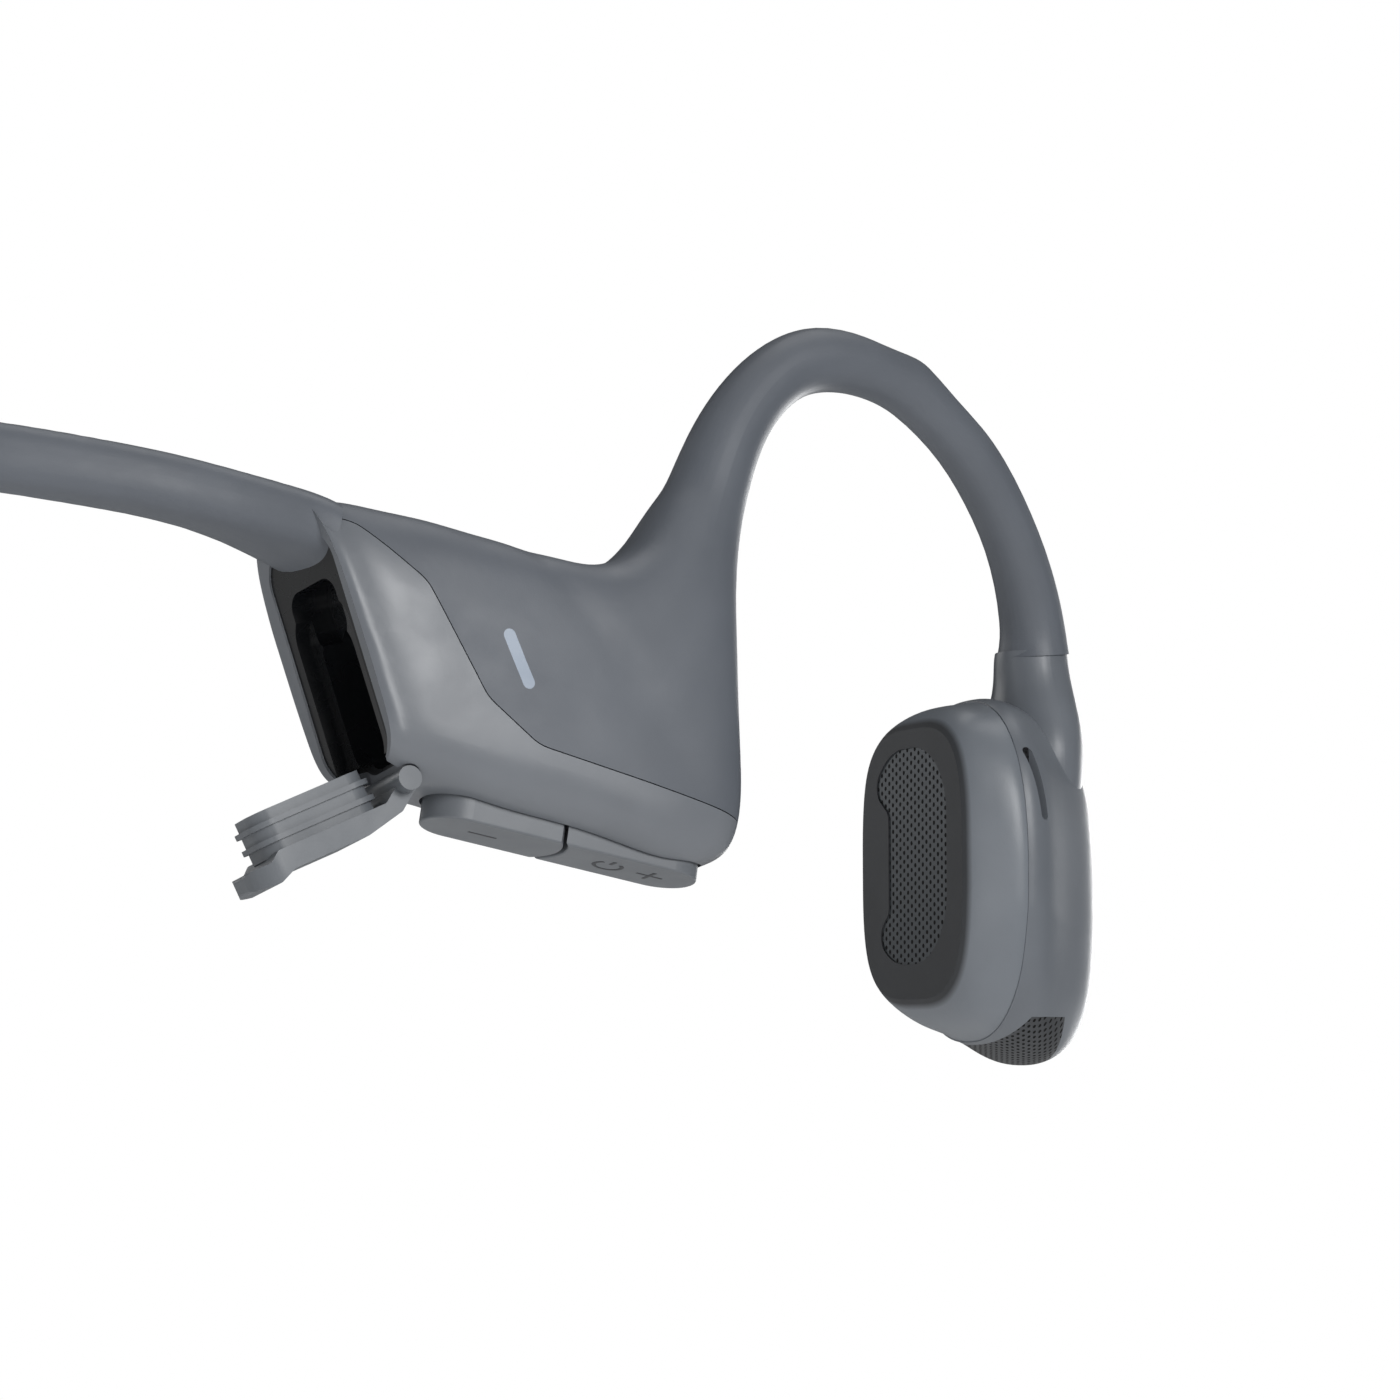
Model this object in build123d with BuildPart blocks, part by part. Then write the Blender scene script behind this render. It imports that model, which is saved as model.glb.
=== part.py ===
from build123d import *
from math import atan2, cos, degrees, hypot, pi, radians, sin
import os

# Bone conduction headphones, in millimetres. +Z is up, the wearer faces -Y and
# the wearer's right arm is at -X. Each arm lies on a vertical wall that curves in
# plan. A place on the right arm is (s, z): s is the distance along the plan curve,
# forward of the middle of its box, and z is the height. The left arm is a mirror.

# ---------------------------------------------------------------- driving sizes

# Plan of the right arm, seen from above.
BOX_MIDDLE = (-59.5, 0.0)
BOX_HEADING = 24.0
HOOK_PLAN = [BOX_MIDDLE, (-66.1, -16.2), (-69.1, -28.3), (-69.5, -40.3), (-68.5, -48.2)]
BAND_PLAN = [BOX_MIDDLE, (-52.0, 15.8), (-40.4, 35.0), (-24.5, 50.5), (0.0, 59.8)]

# Box, as seen from the side: its top edge and its bottom and front edge, as (s, z),
# both from the rear face to the foot of the ear hook.
FACE_TOP = (-16.9, 18.3)
FACE_BOTTOM = (-7.1, 2.2)
BOX_TOP = [
    FACE_TOP, (-10.6, 19.1), (-5.0, 19.4), (0.7, 19.8), (3.8, 20.5), (6.2, 22.5), (7.7, 25.7), (8.83, 28.73),
]
BOX_BOTTOM = [
    FACE_BOTTOM, (-4.0, 1.8), (2.0, 1.8), (9.0, 1.9), (14.5, 2.1), (17.5, 4.0),
    (17.7, 8.0), (16.7, 12.5), (15.6, 18.0), (14.9, 23.0), (14.77, 27.87),
]
# Half thickness and squareness of its cross-sections, evenly spaced along those edges.
BOX_HALF_WIDTHS = [5.1, 5.2, 5.3, 5.3, 5.3, 5.3, 5.3, 5.3, 5.2, 5.0, 4.7, 4.2, 3.6]
BOX_SQUARENESS = [4.6, 4.5, 4.4, 4.3, 4.2, 4.2, 4.2, 4.0, 3.8, 3.4, 3.0, 2.6, 2.3]
# Squareness of their upper halves, rounder near the rear face.
BOX_TOP_SQUARENESS = [3.0, 3.1, 3.3, 3.7, 4.0, 4.2, 4.2, 4.0, 3.8, 3.4, 3.0, 2.6, 2.3]
# The rear face turns back towards the head by this angle.
FACE_SKEW = 10.5
# Ear hook: centre (s, z) and diameter, from the box over the ear to the pod.
HOOK_STATIONS = [
    ((11.8, 28.3), 6.0),
    ((12.4, 32.4), 5.3),
    ((13.3, 35.8), 4.9),
    ((15.0, 39.2), 4.65),
    ((17.2, 41.6), 4.65),
    ((20.2, 43.1), 4.55),
    ((25.0, 43.8), 4.2),
    ((29.5, 43.1), 4.05),
    ((33.6, 41.8), 4.1),
    ((37.25, 40.07), 4.2),
    ((41.15, 37.6), 4.3),
    ((44.1, 35.0), 4.6),
    ((45.9, 32.8), 4.9),
    ((46.9, 30.6), 5.5),
]
# Headband: s, middle height, half height and half thickness.
BAND_STATIONS = [
    (-14.3, 16.20, 2.25, 4.2),
    (-17.0, 16.55, 2.25, 3.6),
    (-20.0, 16.70, 2.15, 2.8),
    (-24.0, 16.65, 2.10, 2.2),
    (-29.0, 16.15, 2.12, 2.0),
    (-35.0, 15.38, 2.15, 1.9),
    (-42.0, 14.48, 2.12, 1.85),
    (-50.0, 13.61, 2.10, 1.8),
    (-58.0, 12.96, 2.10, 1.8),
    (-66.0, 12.53, 2.10, 1.8),
    (-74.0, 12.31, 2.10, 1.8),
    (-82.0, 12.22, 2.10, 1.8),
]
BAND_REAR_HEIGHT = 12.2
BAND_SQUARENESS = 2.8
WIRE_DIAMETER = 0.9
SEAM_GAP = 0.08

# Split between the overmoulded housing and the hard cover of the box, as (s, z).
COVER_SPLIT = [(-22.0, 17.3), (-13.6, 16.7), (-8.3, 14.2), (-2.6, 7.9), (1.6, 5.9), (24.0, 5.9)]
COVER_SPLIT_RADIUS = 3.0
COVER_FLOOR = -10.0
COVER_THICKNESS = 24.0

# Cavity in the box: its side view as (s, z), half thickness and corner radius.
CAVITY_OUTLINE = [(-2.1, 4.4), (14.2, 5.5), (14.6, 8.0), (12.8, 16.2), (6.5, 16.6), (-9.5, 15.8)]
CAVITY_HALF = 3.6
CAVITY_CORNER = 0.8

# Charging port in the slanted rear face. Places on the face are measured up it
# from the flap's pivot; depths are below the face.
FLAP_PIVOT = (-6.1, 1.5)
FACE_SLOPE = degrees(atan2(FACE_TOP[1] - FACE_BOTTOM[1], FACE_TOP[0] - FACE_BOTTOM[0]))
FACE_HEIGHT = 0.47
FACE_MIDDLE = 9.3
BEZEL_SIZE = (8.3, 16.0)
BEZEL_CORNER = 2.4
BEZEL_DEPTHS = (0.3, 4.3)
ABOVE_FACE = -4.0
FLAP_RECESS_SIZE = (6.6, 13.8)
FLAP_RECESS_MIDDLE = 6.3
PORT_MIDDLE = 6.3
POCKET_SIZE = (5.2, 9.6)
POCKET_DEPTH = 3.3
POCKET_CORNER = 1.8
NOTCH_SIZE = (5.4, 4.0)
NOTCH_MIDDLE = 12.2
NOTCH_DEPTH = 1.5
NOTCH_CORNER = 1.2
USB_SIZE = (3.26, 8.94)
USB_WALL = 0.3
USB_LENGTH = 6.8
TONGUE_SIZE = (0.7, 6.7)
TONGUE_LENGTH = 5.2

# Port flap, in its closed position: along it and out of the face.
FLAP_OPEN = 98.0
FLAP_HALF_WIDTH = 2.9
FLAP_SLOT_HALF = 3.2
FLAP_STRIP = [
    (0.0, -0.9), (0.7, 0.1), (1.8, 0.85), (9.9, 0.85), (10.6, 1.4), (12.0, 1.35), (12.0, 2.6), (10.5, 2.8),
    (9.3, 2.3), (3.8, 2.3), (1.0, 1.75), (-0.7, 0.6),
]
FLAP_UNDERSIDE = 0.85
FLAP_CORNER = 0.25
FLAP_END_RADIUS = 2.2
PLUG_SPAN = (1.9, 10.3)
PLUG_DEPTH = 2.75
PLUG_HALF_WIDTH = 2.1
PLUG_CORNER = 1.4
RIB_DEPTHS = (0.6, 1.7)
RIB_SIZE = (0.25, 0.35)
BOSS_RADIUS = 0.8
BOSS_HALF_LENGTH = 3.9
BOSS_BORE = 0.95
BORE_END_GAP = 0.3

# Buttons under the right box. Heights are above the plane of their lower faces.
BUTTON_PIVOT = (6.5, 0.9)
BUTTON_TILT = 4.0
BUTTON_LENGTH = 9.75
BUTTON_WIDTH = 5.2
BUTTON_SPLIT = 0.3
BUTTON_SPLIT_RADIUS = 4.5
CAP_HEIGHT = 2.0
BUTTON_ROUND = 0.15
POCKET_CLEARANCE = 0.2
POCKET_HEIGHT = 2.4
STEM_MIDDLE = 4.0
STEM_SIZE = (4.4, 2.8)
STEM_CLEARANCE = 0.25
FLANGE_HEIGHTS = (4.2, 4.7)
FLANGE_SIZE = (5.4, 4.0)
SWITCH_HEIGHTS = (5.1, 5.4, 6.3, 6.7)
SWITCH_SIZE = (3.0, 2.6)
SWITCH_BOARD_SIZE = (11.4, 3.4)
SWITCH_BOARD_CORNER = 0.6
PLUNGER_RADIUS = 0.6

# Light pipe on the right box: centre (s, z), length, width and lean.
LIGHT_MIDDLE = (-1.05, 11.1)
LIGHT_SIZE = (4.2, 0.85)
LIGHT_LEAN = -54.0

# Boards and battery inside the boxes, as (s, z) centres and (length, height, thickness).
BOARD_MIDDLE = (4.6, 11.6)
BOARD_SIZE = (14.0, 7.4, 0.8)
BOARD_OUT = -2.9
BOARD_CHIPS = [((1.0, 0.8), (4.0, 4.0, 0.7)), ((5.2, -0.6), (3.0, 3.6, 0.6)), ((-3.4, -1.2), (2.4, 2.0, 0.5))]
BATTERY_MIDDLE = (4.8, 11.0)
BATTERY_SIZE = (14.6, 8.8, 4.6)
BATTERY_OUT = 0.4
BATTERY_BOARD_SIZE = (9.0, 5.0, 0.6)
BATTERY_BOARD_OUT = -2.8

# Pod: centre, long axis and direction of the pad that lies on the cheekbone.
POD_CENTRE = Vector(-66.1, -45.6, 12.3)
POD_AXIS = Vector(-0.015, 0.297, 0.955).normalized()
PAD_AZIMUTH = 66.0
# Cross-sections along the pad's direction: height, half width, half length,
# middle across and along the pod, and squareness.
COVER_SECTIONS = [
    (0.2, 9.15, 12.7, 0.0, 1.1, 2.4),
    (1.8, 8.9, 12.2, -0.1, 1.3, 2.6),
    (3.3, 8.4, 11.5, -0.4, 1.5, 2.9),
    (4.1, 8.15, 10.7, -0.7, 1.6, 3.2),
    (4.5, 7.75, 10.1, -0.75, 1.6, 3.4),
]
SHELL_SECTIONS = [
    (0.2, 9.2, 12.8, 0.0, 1.1, 2.4),
    (-1.0, 9.3, 13.1, -0.1, 1.0, 2.4),
    (-3.5, 8.4, 13.4, -0.7, 0.2, 2.5),
    (-6.0, 7.2, 12.9, -1.1, -0.4, 2.5),
    (-7.6, 6.1, 11.8, -1.1, -0.7, 2.5),
    (-8.4, 5.1, 10.6, -1.0, -0.8, 2.5),
]
# Neck, from the seam with the hook down into the shell: height, half width, half
# thickness, then its middle across and along the pad's direction.
NECK_SECTIONS = [
    (17.8, 2.75, 2.75, 0.0, -5.6),
    (15.6, 3.1, 2.9, 0.1, -5.6),
    (13.2, 4.1, 3.2, 0.2, -5.5),
    (11.2, 5.1, 3.5, 0.1, -5.3),
    (9.0, 5.5, 3.6, 0.0, -5.2),
    (5.0, 5.5, 3.5, -0.3, -5.0),
]
POD_WALL = 1.1
# The kidney-shaped grille in the pad: half width, half length, corner, middle and notch.
GRILLE_HALF = (5.9, 8.1)
GRILLE_CORNER = 5.2
GRILLE_MIDDLE = (-1.2, 2.2)
GRILLE_NOTCH = [(-12.0, 11.3), (-4.3, 5.5), (-4.3, -2.1), (-12.0, -7.9)]
GRILLE_NOTCH_CORNERS = (1.4, 1.0)
GRILLE_THICKNESS = 0.4
GRILLE_SUNK = 0.12
GRILLE_SEAT = 0.6
# Facet on the outer side of the pod, through two points of its cross-section.
FACET_POINTS = ((9.3, -0.9), (4.6, -8.2))
# Microphone vent on the right facet: (across, up) the pod, (length, width) and heights.
VENT_MIDDLE = (8.9, 7.2)
VENT_SIZE = (5.4, 0.8)
VENT_SPAN = (-2.4, 0.6)
VENT_MESH_SPAN = (-1.9, -1.6)
MICROPHONE_MIDDLE = (8.9, 5.8)
MICROPHONE_SIZE = (2.4, 1.2)
MICROPHONE_SPAN = (-3.6, -2.8)
# Button on the left facet, with its flange behind the wall and its switch.
KNOB_MIDDLE = (6.95, -2.0)
KNOB_SIZE = (10.6, 5.2)
KNOB_SPAN = (-2.2, 0.5)
KNOB_ROUND = 0.3
KNOB_CLEARANCE = 0.2
KNOB_FLANGE_SIZE = (11.8, 6.2)
KNOB_FLANGE_SPAN = (-2.7, -2.2)
KNOB_PLUNGER_SPAN = (-3.4, -3.1)
KNOB_SWITCH_SPAN = (-4.3, -3.4)
# Bone driver behind the pad: middle across and up the pod; radii and depths of its parts.
DRIVER_MIDDLE = (-1.5, 4.5)
YOKE_RADIUS = 5.0
YOKE_WALL = 0.5
YOKE_SPAN = (-4.4, -1.2)
MAGNET_RADIUS = 3.3
MAGNET_TOP = -1.7
COIL_RADII = (4.4, 3.6)
COIL_SPAN = (-2.6, 0.5)
SPRING_RADIUS = 5.8
SPRING_SPAN = (0.5, 0.8)
SPRING_BORE = 2.2
# Small air driver above the sound outlet.
AIR_DRIVER_MIDDLE = (-1.5, -6.0)
AIR_DRIVER_RADIUS = 3.2
AIR_DRIVER_SPAN = (-6.6, -4.9)
# Oval sound outlet cut upwards into the foot of the pod, and the height of the cut.
OUTLET_MIDDLE = (0.8, -9.8, -3.2)
OUTLET_SIZE = (12.4, 5.6)
OUTLET_CUT = 6.0

SECTION_POINTS = 24
QUARTER = SECTION_POINTS // 4


# ---------------------------------------------------------------- places and outlines

def plan_edge(points, heading_sign):
    """Plan curve from the middle of the box towards the pod (+1) or the band (-1)."""
    start = Vector(-sin(radians(BOX_HEADING)), -cos(radians(BOX_HEADING)), 0) * heading_sign
    end = Vector(0.2, -1, 0) if heading_sign > 0 else Vector(1, 0, 0)
    return Edge.make_spline([Vector(*point, 0) for point in points], tangents=[start, end])


hook_plan = plan_edge(HOOK_PLAN, +1)
band_plan = plan_edge(BAND_PLAN, -1)


def arm_point(s, z):
    """Point on the right arm's mid wall."""
    edge = hook_plan if s >= 0 else band_plan
    foot = edge.position_at(abs(s), position_mode=PositionMode.LENGTH)
    return Vector(foot.X, foot.Y, z)


def arm_outward(s):
    """Horizontal direction away from the head at s."""
    edge = hook_plan if s >= 0 else band_plan
    along = edge.tangent_at(abs(s), position_mode=PositionMode.LENGTH)
    forward = along if s >= 0 else -along
    return forward.cross(Vector(0, 0, 1)).normalized()


def across_plane(top, bottom):
    """Plane of a cross-section whose Y runs from bottom to top, and X outwards."""
    upper, lower = arm_point(*top), arm_point(*bottom)
    up = (upper - lower).normalized()
    outward = arm_outward((top[0] + bottom[0]) / 2)
    return Plane(origin=(upper + lower) / 2, x_dir=outward, z_dir=outward.cross(up))


def rounded_outline(half_x, half_y, squareness, centre=(0, 0), top_squareness=None):
    """Closed run of points: an ellipse at squareness 2, nearer a rectangle above it."""
    points = []
    for index in range(SECTION_POINTS):
        angle = 2 * pi * index / SECTION_POINTS
        power = (top_squareness or squareness) if 2 * index < SECTION_POINTS else squareness
        reach = (abs(cos(angle)) ** power + abs(sin(angle)) ** power) ** (-1 / power)
        points.append((centre[0] + half_x * reach * cos(angle), centre[1] + half_y * reach * sin(angle)))
    return points


def section_face(plane, half_x, half_y, squareness, centre=(0, 0), top_squareness=None):
    """Face of a rounded outline on a plane, its edge in four quarters, ready to loft."""
    outline = rounded_outline(half_x, half_y, squareness, centre, top_squareness)
    points = [plane.from_local_coords(Vector(*point, 0)) for point in outline]
    steps = [index / SECTION_POINTS for index in range(SECTION_POINTS + 1)]
    whole = Edge.make_spline(points, periodic=True, parameters=steps)
    quarters = []
    for quarter in range(4):
        first = quarter * QUARTER
        run = [points[(first + step) % SECTION_POINTS] for step in range(QUARTER + 1)]
        ends = [whole.tangent_at(turn % 1.0) for turn in (quarter / 4, (quarter + 1) / 4)]
        quarters.append(Edge.make_spline(run, tangents=ends))
    return Face(Wire(quarters))


def hook_ends(index):
    """Outer and inner end of a hook cross-section, square to the hook's path."""
    before = HOOK_STATIONS[max(index - 1, 0)][0]
    after = HOOK_STATIONS[min(index + 1, len(HOOK_STATIONS) - 1)][0]
    along = (after[0] - before[0], after[1] - before[1])
    half = HOOK_STATIONS[index][1] / 2 / hypot(*along)
    across = (-along[1] * half, along[0] * half)
    centre = HOOK_STATIONS[index][0]
    outer = (centre[0] + across[0], centre[1] + across[1])
    inner = (centre[0] - across[0], centre[1] - across[1])
    return outer, inner


def hook_faces(diameter=None):
    """Round cross-sections of the hook, or of a wire along its centre."""
    faces = []
    for index, (_, own_diameter) in enumerate(HOOK_STATIONS):
        radius = (diameter or own_diameter) / 2
        faces.append(section_face(across_plane(*hook_ends(index)), radius, radius, 2))
    return faces


def skewed_plane(plane, half_width):
    """A cross-section's plane turned about its outer edge, its inner edge further back."""
    outward = (plane.x_dir * cos(radians(FACE_SKEW)) - plane.z_dir * sin(radians(FACE_SKEW))).normalized()
    outer_edge = plane.origin + plane.x_dir * half_width
    origin = outer_edge - outward * (half_width / cos(radians(FACE_SKEW)))
    return Plane(origin=origin, x_dir=outward, z_dir=outward.cross(plane.y_dir))


def box_faces():
    """Cross-sections of the box, fanned between its top edge and its bottom edge."""
    top_edge = Edge.make_spline(BOX_TOP)
    bottom_edge = Edge.make_spline(BOX_BOTTOM)
    faces = []
    for index, half_width in enumerate(BOX_HALF_WIDTHS):
        share = index / len(BOX_HALF_WIDTHS)
        top = ((top_edge @ share).X, (top_edge @ share).Y)
        bottom = ((bottom_edge @ share).X, (bottom_edge @ share).Y)
        half_height = (arm_point(*top) - arm_point(*bottom)).length / 2
        plane = across_plane(top, bottom)
        if index == 0:
            plane = skewed_plane(plane, half_width)
            half_width = half_width / cos(radians(FACE_SKEW))
        shape = (half_width, half_height, BOX_SQUARENESS[index], (0, 0), BOX_TOP_SQUARENESS[index])
        faces.append(section_face(plane, *shape))
    return faces


def band_planes():
    """Planes across the headband, X outwards, from the right box to the left."""
    planes = []
    for s, z, _, _ in BAND_STATIONS:
        planes.append(across_plane((s, z + 1), (s, z - 1)))
    rear = Plane(origin=(*BAND_PLAN[-1], BAND_REAR_HEIGHT), x_dir=(0, 1, 0), z_dir=(1, 0, 0))
    twins = []
    for plane in reversed(planes):
        outward = Vector(-plane.x_dir.X, plane.x_dir.Y, plane.x_dir.Z)
        up = Vector(-plane.y_dir.X, plane.y_dir.Y, plane.y_dir.Z)
        origin = Vector(-plane.origin.X, plane.origin.Y, plane.origin.Z)
        twins.append(Plane(origin=origin, x_dir=outward, z_dir=outward.cross(up)))
    return [*planes, rear, *twins]


def band_faces():
    """Cross-sections of the headband, from the right box to the left."""
    stations = [*BAND_STATIONS, BAND_STATIONS[-1], *reversed(BAND_STATIONS)]
    faces = []
    for plane, (_, _, half_height, half_width) in zip(band_planes(), stations):
        faces.append(section_face(plane, half_width, half_height, BAND_SQUARENESS))
    return faces


# Frame of the right box: X forward, Y up and Z outwards.
box_outward = arm_outward(0)
box_frame = Plane(origin=(*BOX_MIDDLE, 0), x_dir=Vector(0, 0, 1).cross(box_outward), z_dir=box_outward)


def box_plane(out=0.0):
    return box_frame.offset(out)


def turned_plane(turn):
    """Plane at the flap's pivot: X along the closed flap turned by an angle, Z outwards."""
    angle = radians(FACE_SLOPE + turn)
    origin = box_frame.from_local_coords(Vector(*FLAP_PIVOT, 0))
    ahead = Vector(FLAP_PIVOT[0] + cos(angle), FLAP_PIVOT[1] + sin(angle), 0)
    along = box_frame.from_local_coords(ahead) - origin
    return Plane(origin=origin, x_dir=along, z_dir=box_outward)


face_frame = turned_plane(0)
open_frame = turned_plane(FLAP_OPEN)


def face_plane(depth):
    """Plane parallel to the rear face, its depth below the face, with Y up the face."""
    origin = face_frame.from_local_coords(Vector(0, FACE_HEIGHT - depth, 0))
    return Plane(origin=origin, x_dir=box_outward, z_dir=face_frame.y_dir)


# Frame of the right pod: X outwards and back, Y up the pod and Z out of the pad.
pad_heading = Vector(cos(radians(PAD_AZIMUTH)), sin(radians(PAD_AZIMUTH)), 0)
pad_direction = (pad_heading - POD_AXIS * pad_heading.dot(POD_AXIS)).normalized()
pod_frame = Plane(origin=POD_CENTRE, x_dir=POD_AXIS.cross(pad_direction), z_dir=pad_direction)


def pod_plane(w):
    return pod_frame.offset(w)


def finish(builder, name):
    """Label a finished piece and write it."""
    builder.part.label = name
    export_step(builder.part, f"parts/{name}.step")


def finish_left(builder, name):
    """Write the mirror image of a piece modelled on the right side."""
    with BuildPart() as twin:
        add(builder.part.mirror(Plane.YZ))
    finish(twin, f"{name}_left")


def finish_pair(builder, name):
    """Write a piece of the right side and its mirror image for the left side."""
    finish(builder, f"{name}_right")
    finish_left(builder, name)


def loft_through(faces):
    """Solid through a run of cross-sections."""
    with BuildPart() as body:
        loft(faces)
    return body


def pod_faces(sections, inset=0.0):
    """Cross-sections of the pod along the pad's direction, drawn in by an inset."""
    faces = []
    for w, half_u, half_h, middle_u, middle_h, squareness in sections:
        middle = (middle_u, middle_h)
        faces.append(section_face(pod_plane(w), half_u - inset, half_h - inset, squareness, middle))
    return faces


def slab_on_face(size, middle, corner, top_depth, bottom_depth):
    """Rounded block sunk square into the rear face between two depths."""
    with BuildPart() as block:
        with BuildSketch(face_plane(top_depth)):
            with Locations((0, middle)):
                RectangleRounded(*size, corner)
        extrude(amount=top_depth - bottom_depth)
    return block.part


def below_face(sunk, floor):
    """Everything under the skewed rear face, from a sunk depth down to a floor."""
    tilt = sin(radians(FACE_SKEW)) / cos(radians(FACE_SKEW))
    outer, inner = BOX_HALF_WIDTHS[0] + 1, -BOX_HALF_WIDTHS[0] - 1
    outer_depth = sunk + tilt - FACE_HEIGHT
    inner_depth = outer_depth - (outer - inner) * tilt
    with BuildPart() as block:
        with BuildSketch(Plane(origin=face_frame.origin, x_dir=box_outward, z_dir=face_frame.x_dir)):
            with BuildLine():
                slope = ((outer, outer_depth), (inner, inner_depth))
                Polyline(*slope, (inner, floor), (outer, floor), close=True)
            make_face()
        extrude(amount=2 * BEZEL_SIZE[1], both=True)
    return block.part


def button_plane(height):
    """Plane of the buttons at a height above their lower faces, X forward and Z up."""
    tilt = radians(BUTTON_TILT)
    origin = box_frame.from_local_coords(Vector(*BUTTON_PIVOT, 0))
    ahead = box_frame.from_local_coords(Vector(BUTTON_PIVOT[0] + cos(tilt), BUTTON_PIVOT[1] + sin(tilt), 0))
    along = ahead - origin
    return Plane(origin=origin, x_dir=along, z_dir=box_outward.cross(along)).offset(height)


def button_slab(which, bottom, top, grow=0.0):
    """Slice of the button pad between two heights: whole, or its rear or front button."""
    length = 2 * BUTTON_LENGTH + BUTTON_SPLIT
    gap = BUTTON_SPLIT / 2
    with BuildPart() as slab:
        with BuildSketch(button_plane(bottom)):
            RectangleRounded(length, BUTTON_WIDTH, BUTTON_WIDTH / 2 - 0.1)
            if which == "rear":
                with BuildSketch(mode=Mode.INTERSECT):
                    with Locations((-BUTTON_SPLIT_RADIUS, 0)):
                        Circle(BUTTON_SPLIT_RADIUS - gap)
                    with Locations((-BUTTON_SPLIT_RADIUS - length / 2, 0)):
                        Rectangle(length, BUTTON_WIDTH)
            if which == "front":
                with BuildSketch(mode=Mode.SUBTRACT):
                    with Locations((-BUTTON_SPLIT_RADIUS, 0)):
                        Circle(BUTTON_SPLIT_RADIUS + gap)
                    with Locations((-BUTTON_SPLIT_RADIUS - length / 2, 0)):
                        Rectangle(length, BUTTON_WIDTH)
            if grow:
                offset(amount=grow)
        extrude(amount=top - bottom)
    return slab.part


def stem_slab(side, size, bottom, top, grow=0.0):
    """Rounded block above the middle of the rear (-1) or front (+1) button."""
    with BuildPart() as slab:
        with BuildSketch(button_plane(bottom)):
            with Locations((side * STEM_MIDDLE, 0)):
                RectangleRounded(size[0] + 2 * grow, size[1] + 2 * grow, size[1] / 2 - 0.4)
        extrude(amount=top - bottom)
    return slab.part


def box_block(middle, size, out):
    """Upright block inside a box: centre (s, z), (length, height, thickness), offset outwards."""
    with BuildPart() as block:
        with BuildSketch(box_plane(out - size[2] / 2)):
            with Locations(middle):
                Rectangle(size[0], size[1])
        extrude(amount=size[2])
    return block.part


def facet_plane(u, height, lift=0.0):
    """Plane on the pod's outer facet, X up the pod and Z out of the facet."""
    near, far = FACET_POINTS
    share = (near[0] - u) / (near[0] - far[0])
    across = near[1] + share * (far[1] - near[1])
    normal = (pod_frame.x_dir * (near[1] - far[1]) - pod_frame.z_dir * (near[0] - far[0])).normalized()
    origin = pod_frame.from_local_coords(Vector(u, height, across)) + normal * lift
    return Plane(origin=origin, x_dir=POD_AXIS, z_dir=normal)


def facet_slot(middle, size, bottom, top, grow=0.0):
    """Slot-shaped block square to the facet, between two heights above it."""
    with BuildPart() as block:
        with BuildSketch(facet_plane(*middle, bottom)):
            SlotOverall(size[0] + 2 * grow, size[1] + 2 * grow)
        extrude(amount=top - bottom)
    return block.part


def facet_block(middle, size, bottom, top):
    """Rectangular block square to the facet, between two heights above it."""
    with BuildPart() as block:
        with BuildSketch(facet_plane(*middle, bottom)):
            Rectangle(*size)
        extrude(amount=top - bottom)
    return block.part


def pod_disc(radius, bottom, top, middle, bore=0.0):
    """Disc or ring along the pad's direction, between two heights."""
    with BuildPart() as disc:
        with BuildSketch(pod_plane(bottom)):
            with Locations(middle):
                Circle(radius)
                if bore:
                    Circle(bore, mode=Mode.SUBTRACT)
        extrude(amount=top - bottom)
    return disc.part


os.makedirs("parts", exist_ok=True)

# ---------------------------------------------------------------- headband

band_blank = loft_through(band_faces())

# The wire is moulded in, ending inside the sleeve.
wire_places = [plane.origin for plane in band_planes()[1:-1]]
with BuildPart() as headband_wire:
    with BuildLine() as wire_path:
        Spline(*wire_places)
    with BuildSketch(Plane(origin=wire_path.line @ 0, z_dir=wire_path.line % 0)):
        Circle(WIRE_DIAMETER / 2)
    sweep()
finish(headband_wire, "headband_wire")

with BuildPart() as headband_sleeve:
    add(band_blank.part)
    add(headband_wire.part, mode=Mode.SUBTRACT)
finish(headband_sleeve, "headband_sleeve")

# ---------------------------------------------------------------- shared shapes of an arm

arm_blank = loft_through([*box_faces(), *hook_faces()][::-1])
hook_wire = loft_through(hook_faces(WIRE_DIAMETER)[::-1])
finish_pair(hook_wire, "hook_wire")

with BuildPart() as cavity:
    with BuildSketch(box_plane(-CAVITY_HALF)):
        with BuildLine():
            Polyline(*CAVITY_OUTLINE, close=True)
        make_face()
        fillet(vertices(), CAVITY_CORNER)
    extrude(amount=2 * CAVITY_HALF)


def cover_region(gap=0.0):
    """Everything below and behind the split of the box, grown by a gap."""
    with BuildPart() as region:
        with BuildSketch(box_plane(-COVER_THICKNESS / 2)):
            with BuildLine():
                split = FilletPolyline(*COVER_SPLIT, radius=COVER_SPLIT_RADIUS)
                front, rear = COVER_SPLIT[-1][0], COVER_SPLIT[0][0]
                Polyline(split @ 1, (front, COVER_FLOOR), (rear, COVER_FLOOR), split @ 0)
            make_face()
            if gap:
                offset(amount=gap)
        extrude(amount=COVER_THICKNESS)
    return region.part


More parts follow.
